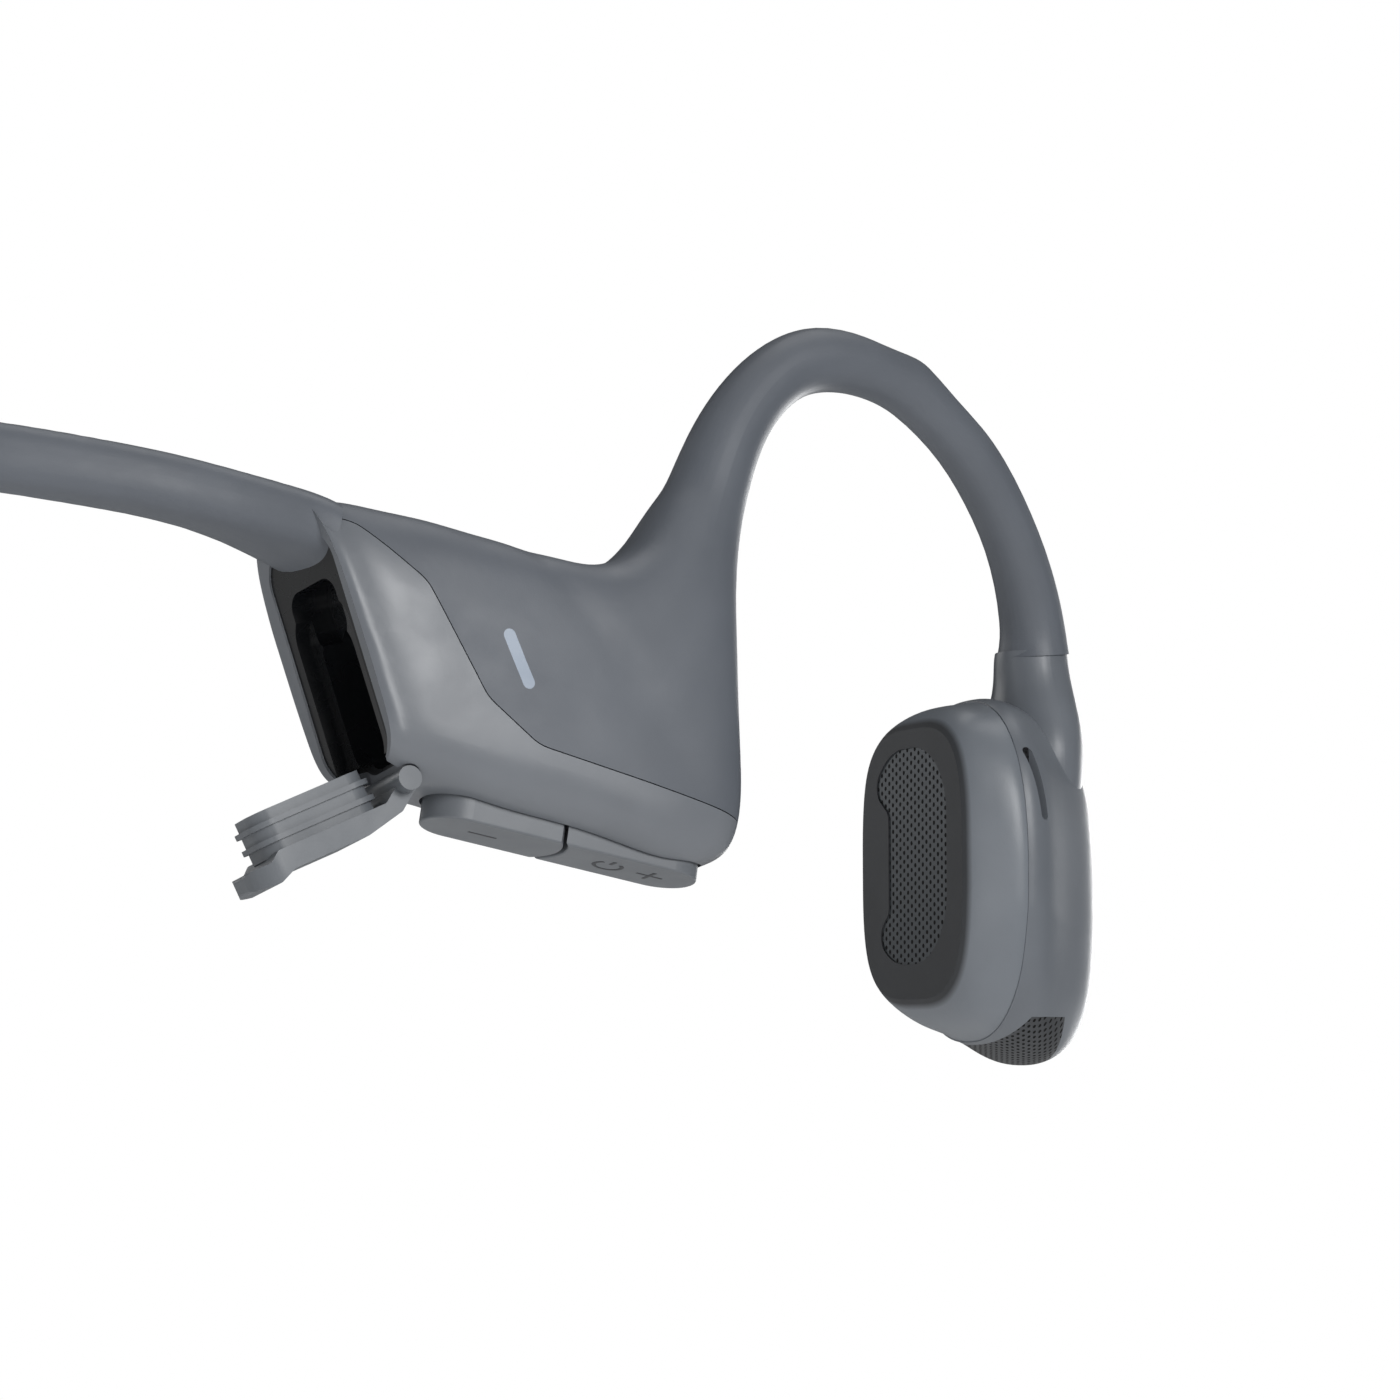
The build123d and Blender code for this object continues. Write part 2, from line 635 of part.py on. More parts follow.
bezel_recess = slab_on_face(BEZEL_SIZE, FACE_MIDDLE, BEZEL_CORNER, ABOVE_FACE, BEZEL_DEPTHS[1])
flap_recess = slab_on_face(FLAP_RECESS_SIZE, FLAP_RECESS_MIDDLE, BEZEL_CORNER, ABOVE_FACE, 0.0)
plug_pocket = slab_on_face(POCKET_SIZE, PORT_MIDDLE, POCKET_CORNER, ABOVE_FACE, POCKET_DEPTH)
finger_notch = slab_on_face(NOTCH_SIZE, NOTCH_MIDDLE, NOTCH_CORNER, ABOVE_FACE, NOTCH_DEPTH)
usb_front = POCKET_DEPTH - USB_WALL
usb_blank = slab_on_face(USB_SIZE, PORT_MIDDLE, USB_SIZE[0] / 2 - 0.05, usb_front, usb_front + USB_LENGTH)

# Slot for the root of the flap, and the bore of its boss.
with BuildPart() as flap_slot:
    with BuildSketch(face_frame.offset(-FLAP_SLOT_HALF)):
        Circle(BOSS_BORE)
        with Locations((-0.5, 1.6)):
            Rectangle(5.2, 4.0)
    extrude(amount=2 * FLAP_SLOT_HALF)
    with BuildSketch(face_frame.offset(-BOSS_HALF_LENGTH - BORE_END_GAP)):
        Circle(BOSS_BORE)
    extrude(amount=2 * BOSS_HALF_LENGTH + 2 * BORE_END_GAP)

# Light pipe, flush with the outer skin.
with BuildPart() as status_light:
    with BuildSketch(box_plane(CAVITY_HALF)):
        with Locations(Location((*LIGHT_MIDDLE, 0), (0, 0, LIGHT_LEAN))):
            SlotOverall(*LIGHT_SIZE)
    extrude(amount=CAVITY_HALF)
    add(arm_blank.part, mode=Mode.INTERSECT)
finish(status_light, "status_light")

# ---------------------------------------------------------------- housings and covers

with BuildPart() as housing_plain:
    add(arm_blank.part)
    for cutter in (cover_region(SEAM_GAP), cavity.part, band_blank.part, hook_wire.part):
        add(cutter, mode=Mode.SUBTRACT)

finish_left(housing_plain, "arm_housing")

with BuildPart() as housing_right:
    add(housing_plain.part)
    for cutter in (bezel_recess, usb_blank, status_light.part):
        add(cutter, mode=Mode.SUBTRACT)
finish(housing_right, "arm_housing_right")

with BuildPart() as cover_plain:
    add(arm_blank.part)
    add(cover_region(), mode=Mode.INTERSECT)
    for cutter in (cavity.part, band_blank.part):
        add(cutter, mode=Mode.SUBTRACT)

finish_left(cover_plain, "battery_cover")

pad_recess = button_slab("whole", -2.0, POCKET_HEIGHT, POCKET_CLEARANCE)
stem_holes = []
for side in (-1, 1):
    stem_holes.append(stem_slab(side, STEM_SIZE, POCKET_HEIGHT - 0.1, FLANGE_HEIGHTS[1], STEM_CLEARANCE))

with BuildPart() as control_cover:
    add(cover_plain.part)
    for cutter in (bezel_recess, usb_blank, flap_slot.part, pad_recess, *stem_holes):
        add(cutter, mode=Mode.SUBTRACT)
finish(control_cover, "control_cover_right")

# ---------------------------------------------------------------- charging port

with BuildPart() as port_bezel:
    add(bezel_recess)
    add(below_face(BEZEL_DEPTHS[0], BEZEL_DEPTHS[1] + 1), mode=Mode.INTERSECT)
    for cutter in (band_blank.part, flap_recess, plug_pocket, finger_notch, usb_blank, flap_slot.part):
        add(cutter, mode=Mode.SUBTRACT)
finish(port_bezel, "port_bezel")

inner_size = (USB_SIZE[0] - 2 * USB_WALL, USB_SIZE[1] - 2 * USB_WALL)
usb_back = usb_front + USB_LENGTH - USB_WALL
with BuildPart() as usb_shell:
    add(usb_blank)
    corner = inner_size[0] / 2 - 0.05
    add(slab_on_face(inner_size, PORT_MIDDLE, corner, usb_front, usb_back), mode=Mode.SUBTRACT)
finish(usb_shell, "usb_c_shell")

with BuildPart() as usb_tongue:
    with BuildSketch(face_plane(usb_back)):
        with Locations((0, PORT_MIDDLE)):
            Rectangle(*TONGUE_SIZE)
    extrude(amount=TONGUE_LENGTH)
finish(usb_tongue, "usb_c_tongue")

# The flap is modelled lying open: a curved strip, its boss and a ribbed plug.
strip_length = max(x for x, _ in FLAP_STRIP)
plug_length = PLUG_SPAN[1] - PLUG_SPAN[0]
plug_base = Plane(
    origin=open_frame.from_local_coords(Vector(sum(PLUG_SPAN) / 2, FLAP_UNDERSIDE, 0)),
    x_dir=open_frame.x_dir,
    z_dir=-open_frame.y_dir,
)
with BuildPart() as flap_strip:
    with BuildSketch(open_frame.offset(-FLAP_HALF_WIDTH)):
        with BuildLine():
            Polyline(*FLAP_STRIP, close=True)
        make_face()
        fillet(vertices(), FLAP_CORNER)
    extrude(amount=2 * FLAP_HALF_WIDTH)
with BuildPart() as flap_plan:
    with BuildSketch(plug_base.offset(-2 * FLAP_HALF_WIDTH)):
        with Locations((strip_length / 2 - FLAP_HALF_WIDTH - sum(PLUG_SPAN) / 2, 0)):
            RectangleRounded(strip_length + 2 * FLAP_HALF_WIDTH, 2 * FLAP_HALF_WIDTH, FLAP_END_RADIUS)
    extrude(amount=4 * FLAP_HALF_WIDTH)

with BuildPart() as port_flap:
    add(flap_strip.part)
    add(flap_plan.part, mode=Mode.INTERSECT)
    with BuildSketch(open_frame.offset(-BOSS_HALF_LENGTH)):
        Circle(BOSS_RADIUS)
    extrude(amount=2 * BOSS_HALF_LENGTH)
    with BuildSketch(plug_base.offset(-0.2)):
        RectangleRounded(plug_length, 2 * PLUG_HALF_WIDTH, PLUG_CORNER)
    extrude(amount=PLUG_DEPTH + 0.2)
    for depth in RIB_DEPTHS:
        with BuildSketch(plug_base.offset(depth)):
            length, width = plug_length + 2 * RIB_SIZE[0], 2 * (PLUG_HALF_WIDTH + RIB_SIZE[0])
            RectangleRounded(length, width, PLUG_CORNER)
        extrude(amount=RIB_SIZE[1])
finish(port_flap, "port_flap")

# ---------------------------------------------------------------- volume buttons

for name, which, side in (("volume_down", "rear", -1), ("volume_up", "front", 1)):
    with BuildPart() as button:
        add(button_slab(which, 0.0, CAP_HEIGHT))
        pressed_face = button.faces().sort_by(Axis(button_plane(0).origin, button_plane(0).z_dir))[0]
        fillet(pressed_face.edges(), BUTTON_ROUND)
        add(stem_slab(side, STEM_SIZE, CAP_HEIGHT, FLANGE_HEIGHTS[1]))
        add(stem_slab(side, FLANGE_SIZE, *FLANGE_HEIGHTS))
    finish(button, f"{name}_button")

    plunger, body, top, _ = SWITCH_HEIGHTS
    middle = (side * STEM_MIDDLE, 0)
    with BuildPart() as switch:
        with BuildSketch(button_plane(body)):
            with Locations(middle):
                Rectangle(*SWITCH_SIZE)
        extrude(amount=top - body)
        with BuildSketch(button_plane(plunger)):
            with Locations(middle):
                Circle(PLUNGER_RADIUS)
        extrude(amount=body - plunger)
    finish(switch, f"{name}_switch")

with BuildPart() as switch_board:
    with BuildSketch(button_plane(SWITCH_HEIGHTS[2])):
        RectangleRounded(*SWITCH_BOARD_SIZE, SWITCH_BOARD_CORNER)
    extrude(amount=SWITCH_HEIGHTS[3] - SWITCH_HEIGHTS[2])
finish(switch_board, "switch_board")

# ---------------------------------------------------------------- electronics and battery

with BuildPart() as main_board:
    add(box_block(BOARD_MIDDLE, BOARD_SIZE, BOARD_OUT))
    for place, size in BOARD_CHIPS:
        middle = (BOARD_MIDDLE[0] + place[0], BOARD_MIDDLE[1] + place[1])
        add(box_block(middle, size, BOARD_OUT + BOARD_SIZE[2] / 2 + size[2] / 2))
finish(main_board, "main_board")

with BuildPart() as battery:
    add(box_block(BATTERY_MIDDLE, BATTERY_SIZE, BATTERY_OUT))
    fillet(battery.edges().filter_by(lambda edge: edge.length > BATTERY_SIZE[0] - 0.1), 1.0)
finish_left(battery, "battery_cell")

with BuildPart() as battery_board:
    add(box_block(BATTERY_MIDDLE, BATTERY_BOARD_SIZE, BATTERY_BOARD_OUT))
finish_left(battery_board, "battery_board")

# ---------------------------------------------------------------- pods

cover_mouth = (COVER_SECTIONS[0][0] - POD_WALL, *COVER_SECTIONS[0][1:])
cover_inner = loft_through(pod_faces([cover_mouth, *COVER_SECTIONS[:3]], POD_WALL))
shell_floor = (SHELL_SECTIONS[-1][0] + POD_WALL, *SHELL_SECTIONS[-1][1:])
shell_inner = loft_through(pod_faces([*SHELL_SECTIONS[:4], shell_floor], POD_WALL))

neck_faces = []
for height, half_u, half_w, middle_u, middle_w in NECK_SECTIONS:
    origin = pod_frame.from_local_coords(Vector(middle_u, height, middle_w))
    neck_plane = Plane(origin=origin, x_dir=pod_frame.x_dir, z_dir=POD_AXIS)
    neck_faces.append(section_face(neck_plane, half_u, half_w, 2))

with BuildPart() as shell_blank:
    add(loft_through(pod_faces(SHELL_SECTIONS)).part)
    add(loft_through(neck_faces).part)
    add(arm_blank.part, mode=Mode.SUBTRACT)

with BuildPart() as outlet_prism:
    outlet_u, outlet_h, outlet_w = OUTLET_MIDDLE
    origin = pod_frame.from_local_coords(Vector(outlet_u, outlet_h, outlet_w))
    with BuildSketch(Plane(origin=origin, x_dir=pod_frame.x_dir, z_dir=-POD_AXIS)):
        Ellipse(OUTLET_SIZE[0] / 2, OUTLET_SIZE[1] / 2)
    extrude(amount=OUTLET_CUT)

with BuildPart() as shell_hollow:
    add(shell_blank.part)
    for cutter in (shell_inner.part, outlet_prism.part):
        add(cutter, mode=Mode.SUBTRACT)

with BuildPart() as pod_shell_right:
    add(shell_hollow.part)
    add(facet_slot(VENT_MIDDLE, VENT_SIZE, *VENT_SPAN), mode=Mode.SUBTRACT)
finish(pod_shell_right, "pod_shell_right")

with BuildPart() as pod_shell_left:
    add(shell_hollow.part)
    bottom, top = KNOB_SPAN
    add(facet_slot(KNOB_MIDDLE, KNOB_SIZE, bottom, top + 1, KNOB_CLEARANCE), mode=Mode.SUBTRACT)
finish_left(pod_shell_left, "pod_shell")

with BuildPart() as outlet_mesh:
    add(shell_blank.part)
    add(outlet_prism.part, mode=Mode.INTERSECT)
    add(shell_inner.part, mode=Mode.SUBTRACT)
finish_pair(outlet_mesh, "outlet_mesh")


def grille_slab(bottom, top, grow=0.0):
    """Kidney-shaped slice of the pad between two heights."""
    with BuildPart() as slab:
        with BuildSketch(pod_plane(bottom)):
            with Locations(GRILLE_MIDDLE):
                half_width, half_length = GRILLE_HALF
                RectangleRounded(2 * (half_width + grow), 2 * (half_length + grow), GRILLE_CORNER + grow)
            with BuildSketch(mode=Mode.SUBTRACT):
                Polygon(*GRILLE_NOTCH, align=None)
                offset(amount=-grow, kind=Kind.INTERSECTION)
            outer_corner, inner_corner = GRILLE_NOTCH_CORNERS
            fillet(vertices().sort_by(Axis.X)[:2], outer_corner + grow)
            fillet(vertices().sort_by(Axis.X)[4:6], inner_corner - grow)
        extrude(amount=top - bottom)
    return slab.part


pad_top = COVER_SECTIONS[-1][0]
grille_span = (pad_top - GRILLE_SUNK - GRILLE_THICKNESS, pad_top - GRILLE_SUNK)
with BuildPart() as pod_cover:
    add(loft_through(pod_faces(COVER_SECTIONS)).part)
    add(cover_inner.part, mode=Mode.SUBTRACT)
    add(grille_slab(grille_span[0], pad_top + 1.0), mode=Mode.SUBTRACT)
    add(grille_slab(0.0, pad_top, -GRILLE_SEAT), mode=Mode.SUBTRACT)
finish_pair(pod_cover, "pod_cover")

with BuildPart() as pad_grille:
    add(grille_slab(*grille_span))
finish_pair(pad_grille, "pad_grille")

# ---------------------------------------------------------------- vent, microphone and pod button

with BuildPart() as vent_mesh:
    add(facet_slot(VENT_MIDDLE, VENT_SIZE, *VENT_MESH_SPAN))
finish(vent_mesh, "vent_mesh_right")

with BuildPart() as microphone:
    add(facet_block(MICROPHONE_MIDDLE, MICROPHONE_SIZE, *MICROPHONE_SPAN))
finish(microphone, "microphone_right")

with BuildPart() as knob:
    add(facet_slot(KNOB_MIDDLE, KNOB_SIZE, *KNOB_SPAN))
    outward = Axis(facet_plane(*KNOB_MIDDLE).origin, facet_plane(*KNOB_MIDDLE).z_dir)
    fillet(knob.edges().group_by(outward)[-1], KNOB_ROUND)
    add(facet_slot(KNOB_MIDDLE, KNOB_FLANGE_SIZE, *KNOB_FLANGE_SPAN))
finish_left(knob, "multifunction_button")

with BuildPart() as knob_switch:
    add(facet_block(KNOB_MIDDLE, SWITCH_SIZE, *KNOB_SWITCH_SPAN))
    add(facet_slot(KNOB_MIDDLE, (2 * PLUNGER_RADIUS + 0.4, 2 * PLUNGER_RADIUS), *KNOB_PLUNGER_SPAN))
finish_left(knob_switch, "multifunction_switch")

# ---------------------------------------------------------------- drivers

with BuildPart() as driver_yoke:
    add(pod_disc(YOKE_RADIUS, *YOKE_SPAN, DRIVER_MIDDLE))
    cup = pod_disc(YOKE_RADIUS - YOKE_WALL, YOKE_SPAN[0] + YOKE_WALL, YOKE_SPAN[1], DRIVER_MIDDLE)
    add(cup, mode=Mode.SUBTRACT)
finish_pair(driver_yoke, "driver_yoke")

with BuildPart() as driver_magnet:
    add(pod_disc(MAGNET_RADIUS, YOKE_SPAN[0] + YOKE_WALL, MAGNET_TOP, DRIVER_MIDDLE))
finish_pair(driver_magnet, "driver_magnet")

with BuildPart() as driver_coil:
    add(pod_disc(COIL_RADII[0], *COIL_SPAN, DRIVER_MIDDLE, COIL_RADII[1]))
finish_pair(driver_coil, "driver_coil")

with BuildPart() as driver_spring:
    add(pod_disc(SPRING_RADIUS, *SPRING_SPAN, DRIVER_MIDDLE, SPRING_BORE))
finish_pair(driver_spring, "driver_spring")

with BuildPart() as air_driver:
    add(pod_disc(AIR_DRIVER_RADIUS, *AIR_DRIVER_SPAN, AIR_DRIVER_MIDDLE))
finish_pair(air_driver, "air_driver")
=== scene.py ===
from math import cos, pi, radians, sin

import bmesh
import bpy
from mathutils import Matrix, Vector


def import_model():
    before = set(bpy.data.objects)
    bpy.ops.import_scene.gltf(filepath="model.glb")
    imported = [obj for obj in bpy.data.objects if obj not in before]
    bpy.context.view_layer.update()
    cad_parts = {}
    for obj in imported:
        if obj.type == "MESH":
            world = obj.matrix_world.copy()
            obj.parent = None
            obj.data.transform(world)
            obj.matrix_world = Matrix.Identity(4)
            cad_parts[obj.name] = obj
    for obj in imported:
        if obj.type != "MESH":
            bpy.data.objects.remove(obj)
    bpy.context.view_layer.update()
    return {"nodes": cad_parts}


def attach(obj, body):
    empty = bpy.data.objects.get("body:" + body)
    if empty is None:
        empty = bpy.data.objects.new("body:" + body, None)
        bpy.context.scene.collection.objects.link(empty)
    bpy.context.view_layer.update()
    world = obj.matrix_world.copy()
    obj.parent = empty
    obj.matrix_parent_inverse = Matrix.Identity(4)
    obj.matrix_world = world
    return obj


# Looks for a pair of bone conduction headphones. Every piece of the CAD frame gets a
# procedural material, and the three signs on the buttons are added. Lengths are in metres.
# The wearer faces -Y, and the wearer's right is at -X.

MM = 0.001
UP = Vector((0, 0, 1))
SIDES = ("right", "left")

# ---------------------------------------------------------------- places from the CAD model

BOX_MIDDLE = Vector((-59.5, 0.0, 0.0)) * MM
BOX_HEADING = radians(24.0)
BUTTON_PIVOT_FORWARD = 6.5 * MM
BUTTON_PIVOT_HEIGHT = 0.9 * MM
BUTTON_TILT = radians(4.0)
POD_CENTRE = Vector((-66.1, -45.6, 12.3)) * MM
POD_AXIS = Vector((-0.015, 0.297, 0.955)).normalized()
PAD_AZIMUTH = radians(66.0)
PLATEAU_HEIGHT = 4.2 * MM

# ---------------------------------------------------------------- colours, linear

SLATE = (0.128, 0.142, 0.165)
COVER_GREY = (0.190, 0.204, 0.226)
FLAP_GREY = (0.160, 0.174, 0.192)
BUTTON_GREY = (0.165, 0.178, 0.196)
PAD_GREY = (0.190, 0.209, 0.235)
# Painted shade: the pads' plateaus are coloured much darker than their walls in place of shade.
PLATEAU_SHADE_GREY = (0.042, 0.045, 0.050)
SHELL_GREY = (0.155, 0.170, 0.192)
GRILLE_GREY = (0.060, 0.068, 0.076)
MESH_GREY = (0.060, 0.064, 0.070)
# Painted shade: the raised signs on the buttons are coloured dark in place of their shading.
MARK_SHADE_GREY = (0.045, 0.049, 0.056)
SWITCH_GREY = (0.030, 0.030, 0.032)
VENT_GREY = (0.020, 0.020, 0.022)
FACE_BLACK = (0.0075, 0.0085, 0.0100)
SOCKET_BLACK = (0.006, 0.006, 0.007)
HOLE_BLACK = (0.002, 0.002, 0.002)
LIGHT_PIPE = (0.30, 0.36, 0.45)
STEEL = (0.42, 0.43, 0.45)
FOIL = (0.55, 0.56, 0.58)
COPPER = (0.50, 0.22, 0.10)
BOARD_GREEN = (0.02, 0.10, 0.05)
PAPER = (0.90, 0.90, 0.90)
WHITE = (1.0, 1.0, 1.0)

# ---------------------------------------------------------------- finishes and small details

SATIN_ROUGHNESS = 0.42
HOLE_ROUGHNESS = 0.90
WALL_ROUGHNESS = 0.36
PLATEAU_ROUGHNESS = 0.62
# Noise seldom leaves these ranges, which are stretched to the whole of a change.
SHADE_NOISE = (0.35, 0.65)
PATCH_NOISE = (0.30, 0.70)

# From one row of holes to the next.
GRILLE_PITCH = 0.58 * MM
OUTLET_PITCH = 0.40 * MM
VENT_PITCH = 0.30 * MM
HOLE_DEPTH = 0.05 * MM
# Three waves add up to 3 in the middle of a hole, and the web turns into hole between these.
HOLE_EDGE = (0.8, 1.4)
# The wall of a pad turns into its plateau, with the plateau's painted shade, between these, from the
# plateau's height.
PLATEAU_EDGE = (-0.25 * MM, 0.10 * MM)

MARK_WIDTH = 0.30 * MM
MARK_THICKNESS = 0.06 * MM
ARC_STEPS = 24

# ---------------------------------------------------------------- camera, light and floor

CAMERA_PLACE = Vector((-209.79, 144.74, -60.51)) * MM
VIEW_ACROSS = Vector((-0.7669, -0.6160, 0.1801)).normalized()
VIEW_TOWARD = Vector((0.6370, -0.6963, 0.3309)).normalized()
LENS_MILLIMETRES = 85
SENSOR_MILLIMETRES = 36
NEAREST_SEEN = 10 * MM

LIT_PLACE = Vector((-66.0, -12.0, 10.0)) * MM
FRONT_LIGHT_BACK = 0.25
BEHIND_CAMERA = CAMERA_PLACE - VIEW_TOWARD * FRONT_LIGHT_BACK - LIT_PLACE
# Name, place from the lit place, width and power in watts of each soft box.
SOFTBOXES = [
    ("key_light", Vector((-0.46, 0.16, 0.14)), 0.22, 1.55),
    ("front_light", BEHIND_CAMERA, 0.12, 0.12),
    ("rear_light", Vector((0.15, 0.40, 0.06)), 0.12, 0.10),
    ("left_light", Vector((0.60, 0.10, 0.15)), 0.25, 0.50),
    ("face_light", Vector((0.10, -0.55, 0.12)), 0.25, 1.30),
]
OVERHEAD_STRENGTH = 0.75
OVERHEAD_SPREAD = radians(40.0)
WORLD_LIGHT = 0.035
WORLD_BACKDROP = 1.0

FLOOR_HEIGHT = -300 * MM
FLOOR_SIZE = 40.0
FLOOR_SQUARES = 8
PAPER_GLOW = 0.12

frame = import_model()
nodes = frame["nodes"]

# ---------------------------------------------------------------- directions

box_forward = Vector((-sin(BOX_HEADING), -cos(BOX_HEADING), 0))
box_outward = Vector((-cos(BOX_HEADING), sin(BOX_HEADING), 0))
button_pivot = BOX_MIDDLE + box_forward * BUTTON_PIVOT_FORWARD + UP * BUTTON_PIVOT_HEIGHT
button_forward = (box_forward * cos(BUTTON_TILT) + UP * sin(BUTTON_TILT)).normalized()
pad_heading = Vector((cos(PAD_AZIMUTH), sin(PAD_AZIMUTH), 0))
pad_outward = (pad_heading - POD_AXIS * pad_heading.dot(POD_AXIS)).normalized()
pod_across = POD_AXIS.cross(pad_outward)


def mirrored(vector):
    """The same direction or place on the wearer's left."""
    return Vector((-vector.x, vector.y, vector.z))


def pod_frame(side):
    """Centre of one pod, and its directions across, up and out of the pad."""
    parts = (POD_CENTRE, pod_across, POD_AXIS, pad_outward)
    return tuple(mirrored(part) for part in parts) if side == "left" else parts


def both(name):
    """Names of a piece on the wearer's right and left."""
    return [f"{name}_{side}" for side in SIDES]


# ---------------------------------------------------------------- putting materials together

# A Mix node has sockets for each type of data. These are the places of its colour sockets.
MIX_COLOURS = (6, 7)
MIX_RESULT = 2


class Shader:
    """A node material being put together."""

    def __init__(self, name, roughness, **sockets):
        self.material = bpy.data.materials.new(name)
        self.material.use_nodes = True
        self.tree = self.material.node_tree
        self.bsdf = self.tree.nodes["Principled BSDF"]
        self.bsdf.inputs["Roughness"].default_value = roughness
        for socket, value in sockets.items():
            self.bsdf.inputs[socket.replace("_", " ")].default_value = value
        self.place = self.node("ShaderNodeTexCoord").outputs["Object"]

    def node(self, kind, **values):
        """A new node with its properties set."""
        made = self.tree.nodes.new(kind)
        for key, value in values.items():
            setattr(made, key, value)
        return made

    def link(self, output, target):
        """Join an output to an input."""
        self.tree.links.new(output, target)

    def noise(self, size, detail=3.0):
        """Noise whose grains are about size metres across, from 0 to 1."""
        noise = self.node("ShaderNodeTexNoise")
        noise.inputs["Scale"].default_value = 1.0 / size
        noise.inputs["Detail"].default_value = detail
        self.link(self.place, noise.inputs["Vector"])
        return noise.outputs["Fac"]

    def maths(self, operation, *values):
        """Result of an operation on sockets or plain numbers."""
        node = self.node("ShaderNodeMath", operation=operation)
        for socket, value in zip(node.inputs, values):
            if isinstance(value, (int, float)):
                socket.default_value = value
            else:
                self.link(value, socket)
        return node.outputs["Value"]

    def span(self, value, low, high, to_low, to_high):
        """Value moved from one range to another, held at its ends."""
        node = self.node("ShaderNodeMapRange")
        node.inputs["From Min"].default_value = low
        node.inputs["From Max"].default_value = high
        node.inputs["To Min"].default_value = to_low
        node.inputs["To Max"].default_value = to_high
        self.link(value, node.inputs["Value"])
        return node.outputs["Result"]

    def along(self, direction, origin=(0, 0, 0)):
        """Distance along a direction from an origin, in metres."""
        node = self.node("ShaderNodeVectorMath", operation="DOT_PRODUCT")
        self.link(self.place, node.inputs[0])
        node.inputs[1].default_value = direction
        return self.maths("SUBTRACT", node.outputs["Value"], Vector(origin).dot(direction))

    def mix(self, factor, first, second):
        """Blend of two colours, each one a tuple or a socket."""
        node = self.node("ShaderNodeMix", data_type="RGBA")
        self.link(factor, node.inputs["Factor"])
        for index, colour in zip(MIX_COLOURS, (first, second)):
            if isinstance(colour, tuple):
                node.inputs[index].default_value = (*colour, 1)
            else:
                self.link(colour, node.inputs[index])
        return node.outputs[MIX_RESULT]

    def shades(self, colour, spread, size):
        """The colour, a little lighter and darker from place to place."""
        darker = tuple(channel * (1 - spread) for channel in colour)
        lighter = tuple(channel * (1 + spread) for channel in colour)
        return self.mix(self.span(self.noise(size), *SHADE_NOISE, 0, 1), darker, lighter)

    def paint(self, colour):
        """Take the base colour from a socket."""
        self.link(colour, self.bsdf.inputs["Base Color"])

    def roughen(self, value):
        """Take the roughness from a socket."""
        self.link(value, self.bsdf.inputs["Roughness"])

    def roughen_unevenly(self, roughness, spread, size):
        """Roughness a little higher and lower from place to place."""
        patches = self.noise(size)
        self.roughen(self.span(patches, *PATCH_NOISE, roughness - spread, roughness + spread))

    def bump(self, height, depth):
        """Tilt the shading as if the surface rose by depth where height is 1."""
        node = self.node("ShaderNodeBump")
        node.inputs["Distance"].default_value = depth
        self.link(height, node.inputs["Height"])
        self.link(node.outputs["Normal"], self.bsdf.inputs["Normal"])


def moulded(name, colour, roughness, grain, depth, **sockets):
    """Moulded plastic or silicone: slight mottling, uneven gloss and fine grain."""
    shader = Shader(name, roughness, **sockets)
    shader.paint(shader.shades(colour, spread=0.05, size=9 * MM))
    shader.roughen_unevenly(roughness, spread=0.05, size=3 * MM)
    shader.bump(shader.noise(grain, detail=2.0), depth)
    return shader


def metal(name, colour, roughness):
    """Drawn or stamped metal with a fine uneven finish."""
    shader = Shader(name, roughness, Metallic=1.0)
    shader.paint(shader.shades(colour, spread=0.08, size=2 * MM))
    shader.roughen_unevenly(roughness, spread=0.08, size=0.4 * MM)
    shader.bump(shader.noise(0.15 * MM, detail=1.0), depth=0.002 * MM)
    return shader


def holes(shader, across, up, pitch):
    """Round holes in staggered rows a pitch apart: 1 in a hole, 0 on the web between."""
    waves = None
    for turn in (0, 60, 120):
        direction = across * cos(radians(turn)) + up * sin(radians(turn))
        wave = shader.maths("COSINE", shader.maths("MULTIPLY", shader.along(direction), 2 * pi / pitch))
        waves = wave if waves is None else shader.maths("ADD", waves, wave)
    return shader.span(waves, *HOLE_EDGE, 0, 1)


def perforated(name, colour, across, up, pitch):
    """Thin sheet with a field of fine holes."""
    shader = Shader(name, SATIN_ROUGHNESS, Metallic=0.35)
    hole = holes(shader, across, up, pitch)
    shader.paint(shader.mix(hole, colour, HOLE_BLACK))
    shader.roughen(shader.span(hole, 0, 1, SATIN_ROUGHNESS, HOLE_ROUGHNESS))
    shader.bump(shader.maths("SUBTRACT", 1.0, hole), HOLE_DEPTH)
    return shader


def soft_pad(name, centre, outward):
    """Soft pad: a matt plateau darkened by painted shade, and satin walls falling away from it."""
    shader = Shader(name, SATIN_ROUGHNESS)
    edge_low, edge_high = (PLATEAU_HEIGHT + edge for edge in PLATEAU_EDGE)
    plateau = shader.span(shader.along(outward, centre), edge_low, edge_high, 0, 1)
    wall_colour = shader.shades(PAD_GREY, spread=0.05, size=8 * MM)
    # Painted shade: the plateau's dark colour stands in for the shade on the face of the pad.
    plateau_shade_colour = shader.shades(PLATEAU_SHADE_GREY, spread=0.06, size=5 * MM)
    shader.paint(shader.mix(plateau, wall_colour, plateau_shade_colour))
    shader.roughen(shader.span(plateau, 0, 1, WALL_ROUGHNESS, PLATEAU_ROUGHNESS))
    shader.bump(shader.noise(0.12 * MM, detail=2.0), depth=0.006 * MM)
    return shader


# ---------------------------------------------------------------- materials of the pieces

def dress(shader, *names):
    """Give CAD pieces a material, in the slots of their objects."""
    for name in names:
        piece = nodes[name]
        if not piece.material_slots:
            piece.data.materials.append(None)
        for slot in piece.material_slots:
            slot.link = "OBJECT"
            slot.material = shader.material


